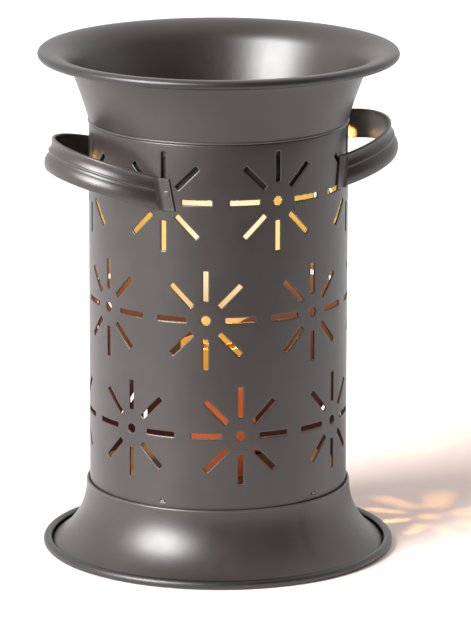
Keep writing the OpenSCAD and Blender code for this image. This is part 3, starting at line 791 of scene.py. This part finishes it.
    def edge_strip(self, bm, profile):
        """Upper or lower edge of the sheet, from its outer face to its inner face."""
        lines = [[bm.verts.new(self.wrap(self.column(i), z, deep)) for deep, z in profile]
                 for i in range(self.columns + 1)]
        for line, other in zip(lines, lines[1:] + lines[:1]):
            bridge(bm, other, line)

    def lap_step(self, bm, bottom, top):
        """Edge of the lap down the back of the tube."""
        tall = self.heights(bottom, top)
        over, under = ([bm.verts.new(self.wrap(along, z, 0.0)) for z in tall]
                       for along in (self.around, 0.0))
        bridge(bm, over, under)


class WARMER_OT_handles(bpy.types.Operator):
    """Two loop handles of hemmed strap with folded feet, and their rivets"""
    bl_idname = "warmer.handles"
    bl_label = "Handles"

    # Azimuth, half angle, reach, depth of the feet below the tube's top, tilt and slope across
    loops = {
        "left_handle": (-69.0, 42.8, 28.7, 16.6, 14.8, 0.039),
        "right_handle": (112.0, 41.2, 31.2, 15.0, 14.2, -0.008),
    }
    # Strap: steps, wired edge and how far it stands out, hollow of the web, radius of the rib,
    # and shares of the height down to the rib and the lower band
    steps = 96
    wire, wire_out, web_hollow, rib_radius = 0.55 * MM, 0.12 * MM, 0.22 * MM, 0.5 * MM
    rib_at, band_at = 0.42, 0.52
    # Foot: width, half height, lean, stretch under the strap, height and width of the bend up to
    # it, and the height and inset of its layers
    foot_width, foot_half, foot_lean, foot_under = 4.7 * MM, 5.6 * MM, 0.2, 0.6 * MM
    bend, bend_width = 0.5 * MM, 1.3 * MM
    layers = ((0.0, 0.0), (0.45 * MM, 0.0), (0.62 * MM, 0.18 * MM))
    # Rivet: radius, base, edge and rise of its dome, and the outline of its head inside
    dome_radius, dome_low, dome_edge, dome_rise = 1.3 * MM, 0.5 * MM, 0.6 * MM, 0.2 * MM
    head = ((0.0, -0.65 * MM), (1.6 * MM, -0.65 * MM), (1.6 * MM, -0.95 * MM),
            (1.4 * MM, -1.1 * MM), (0.0, -1.1 * MM))

    def execute(self, context):
        s = context.scene.warmer_sizes
        self.seat = s.body_radius + NEST_GAP
        paints = [material(painted_tin)]
        rivets, rivet_wear = new_bmesh()
        for name, (azimuth, half, reach, drop, tilt, slope) in self.loops.items():
            self.turn = radians(azimuth)
            self.half = radians(half)
            self.height = s.body_top - drop * MM
            self.slope = slope
            bm, wear = new_bmesh()
            self.strap(bm, wear, s, reach * MM, radians(tilt))
            for side in (-1, 1):
                self.foot(bm, wear, s, side)
                self.rivet(rivets, rivet_wear, s, side)
            tidy_mesh(bm)
            piece("tin_" + name, bm, paints, name)
        tidy_mesh(rivets)
        piece("tin_rivets", rivets, paints, "handle_rivets")
        return {"FINISHED"}

    def section(self, s):
        """Outline of the strap: (out of the loop, up, wear)."""
        half, thick, wire, bulge = s.strap_height / 2, 1.5 * s.sheet, self.wire, s.strap_bulge
        rib = half - self.rib_at * s.strap_height
        band = half - self.band_at * s.strap_height
        tall = band + half
        radius = (tall * tall / 4 + bulge * bulge) / (2 * bulge)
        turn = degrees(asin(tall / 2 / radius))
        web_top = half - 2.1 * wire
        web_tall = web_top - rib - self.rib_radius
        points = [(*p, 0.15)
                  for p in arc((self.wire_out - wire, half - wire), wire, 180, -35, 14)]
        points += [(-self.web_hollow * sin(pi * k / 8), web_top - web_tall * k / 8, 0.0)
                   for k in range(1, 8)]
        points += [(*p, 0.15) for p in arc((-0.1 * MM, rib), self.rib_radius, 75, -75, 8)]
        lower = arc((bulge - radius, band - tall / 2), radius, turn, -turn, 14)
        points += [(*p, 0.04) for p in lower]
        points += [(-0.3 * MM, -half - 0.12 * MM, 0.12), (-thick, -half + 0.15 * MM, 0.08)]
        points += [(-thick, -half + (2 * half - wire) * k / 6, 0.15) for k in range(1, 6)]
        return points

    def place(self, u, v, z):
        """Point from the handle's own frame: u out along its azimuth, v across it."""
        side = Vector((cos(self.turn), sin(self.turn), 0.0))
        out = Vector((sin(self.turn), -cos(self.turn), 0.0))
        return out * u + side * v + Vector((0.0, 0.0, z - self.slope * v))

    def strap(self, bm, wear, s, reach, tilt):
        """Strap swept round its loop and trimmed where it meets the tube."""
        half_chord = s.body_radius * sin(self.half)
        chord = s.body_radius * cos(self.half)
        loop = (half_chord ** 2 + reach ** 2) / (2 * reach)

        def point(out, up, turn):
            radius = loop + out
            away = reach - loop + radius * cos(turn)
            u = chord + away * cos(tilt) - up * sin(tilt)
            z = self.height + away * sin(tilt) + up * cos(tilt)
            return u, radius * sin(turn), z

        rings = []
        for out, up, worn in self.section(s):
            inside, outside = 0.0, radians(150)
            for _ in range(40):
                middle = (inside + outside) / 2
                u, v, _ = point(out, up, middle)
                clear = u > 0 and hypot(u, v) > self.seat
                inside, outside = (middle, outside) if clear else (inside, middle)
            turns = [inside * (2 * i / self.steps - 1) for i in range(self.steps + 1)]
            rings.append([dot(bm, wear, self.place(*point(out, up, turn)), worn)
                          for turn in turns])
        for ring, other in zip(rings, rings[1:] + rings[:1]):
            bridge(bm, ring, other)
        for end in (0, self.steps):
            bm.faces.new([ring[end] for ring in rings])

    def foot(self, bm, wear, s, side):
        """Folded foot that lies on the tube, leaning with the strap."""
        cells = 10
        grids, rims = [], []
        for thick, inset in self.layers:
            grid = []
            for k in range(cells + 1):
                up = (2 * k / cells - 1) * (self.foot_half - inset)
                line = []
                for i in range(cells + 1):
                    across = (self.foot_width + self.foot_under - inset) * i / cells
                    across -= self.foot_under
                    turn = self.half + (across - up * self.foot_lean) / s.body_radius
                    near = max(0.0, 1 - across / self.bend_width) if thick else 0.0
                    radius = self.seat + thick + self.bend * near ** 2
                    u, v = radius * cos(turn), side * radius * sin(turn)
                    fold = thick and (i in (0, cells) or k in (0, cells))
                    line.append(dot(bm, wear, self.place(u, v, self.height + up),
                                    FOLD_WEAR if fold else 0.03))
                grid.append(line)
            grids.append(grid)
            rims.append(grid[0][:-1] + [line[-1] for line in grid[:-1]]
                        + grid[-1][:0:-1] + [line[0] for line in grid[:0:-1]])
        for grid in (grids[0], grids[-1]):
            for line, other in zip(grid, grid[1:]):
                bridge(bm, line, other)
        for rim, other in zip(rims, rims[1:]):
            bridge(bm, rim, other, closed=True)

    def rivet(self, bm, wear, s, side):
        """Low dome outside and flat head inside, on the middle of a foot."""
        across = (s.strap_bulge + self.foot_width) / 2
        turn = self.turn + side * (self.half + across / s.body_radius)
        drop = self.slope * side * s.body_radius * sin(self.half)
        aim = round_point(1.0, turn, 0.0).to_track_quat("Z", "Y").to_matrix().to_4x4()
        at = Matrix.Translation(round_point(self.seat, turn, self.height - drop)) @ aim
        wide = self.dome_radius
        dome = [(0.0, self.dome_low), (wide, self.dome_low), (wide, self.dome_edge)]
        for step in range(10, 90, 10):
            t = radians(step)
            dome.append((wide * cos(t), self.dome_edge + self.dome_rise * sin(t)))
        dome.append((0.0, dome[-1][1] + 0.003 * MM))
        for outline in (dome, self.head):
            start = set(bm.verts)
            lathe(bm, wear, outline, lambda radius, height: 0.1, 40, False)
            fresh = [v for v in bm.verts if v not in start]
            bmesh.ops.transform(bm, matrix=at, verts=fresh)


class WARMER_OT_bulb(bpy.types.Operator):
    """Lit globe bulb: frosted glass, brass cap, stem and wires"""
    bl_idname = "warmer.bulb"
    bl_label = "Bulb"

    # Thickness of the glass, radius of its neck and of the bend from there to the globe
    thick, neck, bend = 0.5 * MM, 5.05 * MM, 10 * MM
    # Strength of each glow, and the heights from the globe's middle where it is dim and bright
    globe_glow, globe_from, globe_to = 1.08, -31 * MM, 6 * MM
    stem_glow, stem_from, filament_glow = 1.5, -30 * MM, 6.0
    # Radius of the light and its height over the globe's middle
    light_radius, light_lift = 4.5 * MM, 4.5 * MM

    def execute(self, context):
        s, finish = context.scene.warmer_sizes, context.scene.warmer_finish
        thick, neck, bend = self.thick, self.neck, self.bend
        centre = s.globe_top - s.globe_radius
        drop = sqrt((s.globe_radius + bend) ** 2 - (neck + bend) ** 2)
        bow = (neck + bend, centre - drop)
        turn = degrees(atan2(drop, -(neck + bend)))
        outline = [(neck, s.glass_bottom)]
        outline += arc(bow, bend, 180, turn, 20)
        outline += arc((0.0, centre), s.globe_radius, turn - 180, 90, 64)
        outline += arc((0.0, centre), s.globe_radius - thick, 90, turn - 180, 64)
        outline += arc(bow, bend + thick, turn, 180, 20)
        outline += [(neck - thick, s.glass_bottom)]
        outline = [(max(radius, 0.0), height) for radius, height in outline]
        bm, wear = new_bmesh()
        lathe(bm, wear, outline, None, 96)
        tidy_mesh(bm)

        def lit(name, strength, dim, bright):
            return material(lit_glass, strength, dim, bright, name=name)

        glass = lit("lit_globe", self.globe_glow, centre + self.globe_from, centre + self.globe_to)
        globe = piece("bulb_globe", bm, [glass], "bulb_glass", "bulb")
        globe.visible_shadow = False
        light = put("bulb_light", bpy.data.lights.new("bulb_light", "POINT"), color=finish.glow,
                    energy=finish.bulb_power, shadow_soft_size=self.light_radius)
        light.location.z = centre + self.light_lift
        dress(lit("lit_stem", self.stem_glow, centre + self.stem_from, centre), "bulb_stem")
        dress(lit("lit_filament", self.filament_glow, 0.0, centre), "bulb_filament")
        dress(metal("drawn_wire"), "bulb_lead_wires")
        dress(metal("heated_brass"), "bulb_cap", "socket_screw_shell")
        dress(metal("zinc_steel"), "bulb_contact")
        dress(material(black_moulding), "bulb_insulator")
        return {"FINISHED"}


class WARMER_OT_fittings(bpy.types.Operator):
    """Lamp holder, pipe, plates and the cord's bushing"""
    bl_idname = "warmer.fittings"
    bl_label = "Fittings"

    def execute(self, context):
        dress(metal("bare_tin"), "bottom_cover")
        dress(metal("browned_tin"), "socket_plate")
        dress(metal("zinc_steel"), "lamp_pipe", "pipe_nuts", "pipe_washers", "socket_bracket")
        dress(metal("brass_sheet"), "socket_centre_contact", "socket_rivet", "terminal_screws")
        dress(material(browned_card), "socket_sleeve")
        dress(material(black_moulding), "socket_body", "cord_bushing")
        return {"FINISHED"}


class WARMER_OT_stage(bpy.types.Operator):
    """Camera, pale floor, soft key light and white surroundings"""
    bl_idname = "warmer.stage"
    bl_label = "Stage"

    # Camera's place, and its turn, tilt and roll in degrees
    eye = (0.0, -1.6697, 0.4836)
    aim = ((-0.21, "Z"), (90 - 13.43, "X"), (0.15, "Z"))
    # Key light: azimuth and elevation in degrees, distance, and the height that it aims at
    key_azimuth, key_rise, key_away, key_height = -50.0, 28.0, 5.0, 0.09
    floor_drop = 0.2 * MM
    # Surroundings: their white, and its strength in reflections and as light
    white = (1.0, 0.985, 0.975)
    shine_front, shine_back, shine_left = 0.12, 0.98, 0.3
    light_front, light_back = 0.55, 0.15

    def execute(self, context):
        self.camera(context)
        self.floor()
        self.key(context.scene.warmer_finish)
        self.surroundings(context)
        context.scene.view_settings.view_transform = "Standard"
        return {"FINISHED"}

    def camera(self, context):
        made = put("camera", bpy.data.cameras.new("camera"), lens=281.2, sensor_width=36.0,
                   clip_end=50.0)
        place = Matrix.Translation(self.eye)
        for turn, axis in self.aim:
            place = place @ Matrix.Rotation(radians(turn), 4, axis)
        made.matrix_world = place
        context.scene.camera = made

    def floor(self):
        bm = bmesh.new()
        bmesh.ops.create_grid(bm, x_segments=8, y_segments=8, size=4.0)
        mesh = mesh_of("floor", bm)
        mesh.materials.append(material(pale_floor, name="floor"))
        floor = put("floor", mesh)
        floor.location.z = -self.floor_drop

    def key(self, finish):
        made = put("key", bpy.data.lights.new("key", "AREA"), shape="DISK", size=3.2,
                   energy=finish.key_power)
        rise = radians(self.key_rise)
        back = round_point(cos(rise), radians(self.key_azimuth), sin(rise))
        made.location = Vector((0.0, 0.0, self.key_height)) + back * self.key_away
        made.rotation_euler = back.to_track_quat("Z", "Y").to_euler()

    def surroundings(self, context):
        """White to the camera and to reflections, softer as light, dim on the camera's side."""
        world = bpy.data.worlds.new("surroundings")
        world.use_nodes = True
        world.node_tree.nodes.clear()
        context.scene.world = world
        start = Wire(world.node_tree)
        glossy = start.ray("Is Glossy Ray")
        seen = (start.ray("Is Camera Ray") + start.ray("Is Transmission Ray")).clamp()
        away = start.place("Generated")
        back = away.axis("Y").smooth(-0.7, 0.3)
        left = (0.0 - away.axis("X")).smooth(0.2, 0.95)
        shine = glossy * (self.shine_front + back * self.shine_back + left * self.shine_left)
        light = (1 - glossy) * (self.light_front + back * self.light_back)
        strength = seen + (1 - seen) * (shine + light)
        lit = start.node("ShaderNodeBackground",
                         {"Color": (*self.white, 1.0), "Strength": strength})
        start.node("ShaderNodeOutputWorld", {"Surface": lit})


class VIEW3D_PT_warmer(bpy.types.Panel):
    """Lists the warmer's sizes, finishes and pieces"""
    bl_idname = "VIEW3D_PT_warmer"
    bl_label = "Wax warmer"
    bl_space_type = "VIEW_3D"
    bl_region_type = "UI"
    bl_category = "Warmer"

    def draw(self, context):
        for group in (context.scene.warmer_sizes, context.scene.warmer_finish):
            box = self.layout.box()
            for name in group.__annotations__:
                box.prop(group, name)
        for operator in OPERATORS:
            self.layout.operator(operator.bl_idname)


OPERATORS = (WARMER_OT_stage, WARMER_OT_base_skirt, WARMER_OT_body_shell, WARMER_OT_wax_dish,
             WARMER_OT_handles, WARMER_OT_bulb, WARMER_OT_fittings)
CLASSES = (WarmerSizes, WarmerFinish, *OPERATORS, VIEW3D_PT_warmer)


def register():
    for made in CLASSES:
        bpy.utils.register_class(made)
    bpy.types.Scene.warmer_sizes = PointerProperty(type=WarmerSizes)
    bpy.types.Scene.warmer_finish = PointerProperty(type=WarmerFinish)


def unregister():
    del bpy.types.Scene.warmer_finish
    del bpy.types.Scene.warmer_sizes
    for made in reversed(CLASSES):
        bpy.utils.unregister_class(made)


def main():
    """Builds the stage and every piece."""
    register()
    for operator in OPERATORS:
        group, name = operator.bl_idname.split(".")
        getattr(getattr(bpy.ops, group), name)()


if __name__ == "__main__":
    main()
